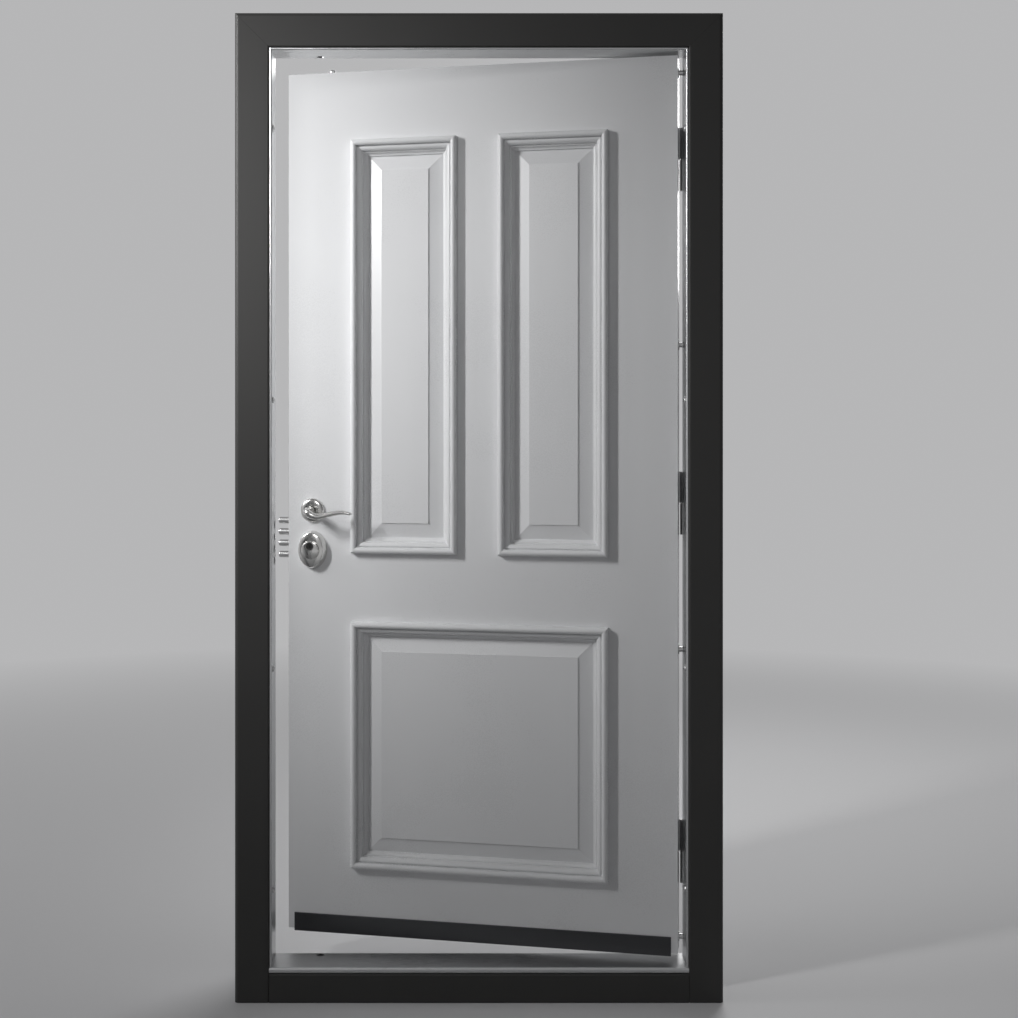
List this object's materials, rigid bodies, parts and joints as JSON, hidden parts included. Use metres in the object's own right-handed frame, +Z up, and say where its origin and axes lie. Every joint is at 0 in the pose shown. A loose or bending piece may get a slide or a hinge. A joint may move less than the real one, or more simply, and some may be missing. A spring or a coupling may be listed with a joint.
{
  "type": "security door",
  "caption": "Hinged security door ajar in its steel frame: dark casing, bright lining, white panelled leaf, lever handle, key cylinder in an oval guard, thrown lock bolts.",
  "frame": {"origin": "on the wall face, which the frame's casing lies on, at the frame's foot and mid-width", "axes": "+X along the wall towards the hinges, +Y through the wall into the room, +Z up"},
  "size_m": [1.062, 0.3202, 2.151],
  "materials": {
    "casing": "satin charcoal powder coat",
    "lining": "fine brushed stainless sheet",
    "leaf_paint": "satin white paint",
    "strip": "brushed stainless strip",
    "plated": "satin nickel plate",
    "bright_steel": "turned bright steel",
    "cylinder": "plain machined brass",
    "seal": "matt black rubber"
  },
  "bodies": {
    "frame": {"lock_side_casing": "casing", "hinge_side_casing": "casing", "head_casing": "casing", "sill_casing": "casing", "sill_plate": "lining", "lock_jamb": "lining", "hinge_jamb": "lining", "head_lining": "lining", "lock_side_seal": "seal", "head_seal": "seal", "lower_hinge_frame_half": "bright_steel", "middle_hinge_frame_half": "bright_steel", "upper_hinge_frame_half": "bright_steel"},
    "leaf": {"leaf_slab": "leaf_paint", "leaf_rear_skin": "leaf_paint", "bottom_strip": "strip", "front_upper_left_moulding": "leaf_paint", "front_upper_left_panel": "leaf_paint", "front_upper_right_moulding": "leaf_paint", "front_upper_right_panel": "leaf_paint", "front_lower_moulding": "leaf_paint", "front_lower_panel": "leaf_paint", "front_lever_rose": "plated", "front_escutcheon": "plated", "rear_upper_left_moulding": "leaf_paint", "rear_upper_left_panel": "leaf_paint", "rear_upper_right_moulding": "leaf_paint", "rear_upper_right_panel": "leaf_paint", "rear_lower_moulding": "leaf_paint", "rear_lower_panel": "leaf_paint", "rear_lever_rose": "plated", "rear_escutcheon": "plated", "lock_cylinder": "cylinder", "lock_forend": "bright_steel", "dog_bolts": "bright_steel", "lower_hinge_leaf_half": "bright_steel", "middle_hinge_leaf_half": "bright_steel", "upper_hinge_leaf_half": "bright_steel"},
    "lever": {"front_lever": "plated", "rear_lever": "plated", "lever_spindle": "bright_steel"},
    "side_bolts": {"side_bolts": "bright_steel"},
    "top_rod": {"top_rod": "bright_steel"},
    "bottom_rod": {"bottom_rod": "bright_steel"}
  },
  "joints": [
    {"name": "leaf_swing", "type": "hinge", "parent": "frame", "child": "leaf", "pos_m": [0.4575, 0.082, 0], "axis": [0, 0, -1], "range_deg": [-11, 89]},
    {"name": "lever_turn", "type": "hinge", "parent": "leaf", "child": "lever", "pos_m": [-0.38479, 0.18256, 1.059], "axis": [0.1908, 0.9816, 0], "range_deg": [0, 40], "stiffness_Nm_per_rad": 1.5},
    {"name": "bolt_throw", "type": "slide", "parent": "leaf", "child": "side_bolts", "axis": [-0.9816, 0.1908, 0], "range_m": [-0.034, 0]},
    {"name": "top_rod_throw", "type": "slide", "parent": "leaf", "child": "top_rod", "axis": [0, 0, 1], "range_m": [-0.016, 0]},
    {"name": "bottom_rod_throw", "type": "slide", "parent": "leaf", "child": "bottom_rod", "axis": [0, 0, -1], "range_m": [-0.018, 0]}
  ],
  "couplings": [
    {"joint": "top_rod_throw", "follows": "bolt_throw", "ratio": 0.47059},
    {"joint": "bottom_rod_throw", "follows": "bolt_throw", "ratio": 0.52941}
  ]
}
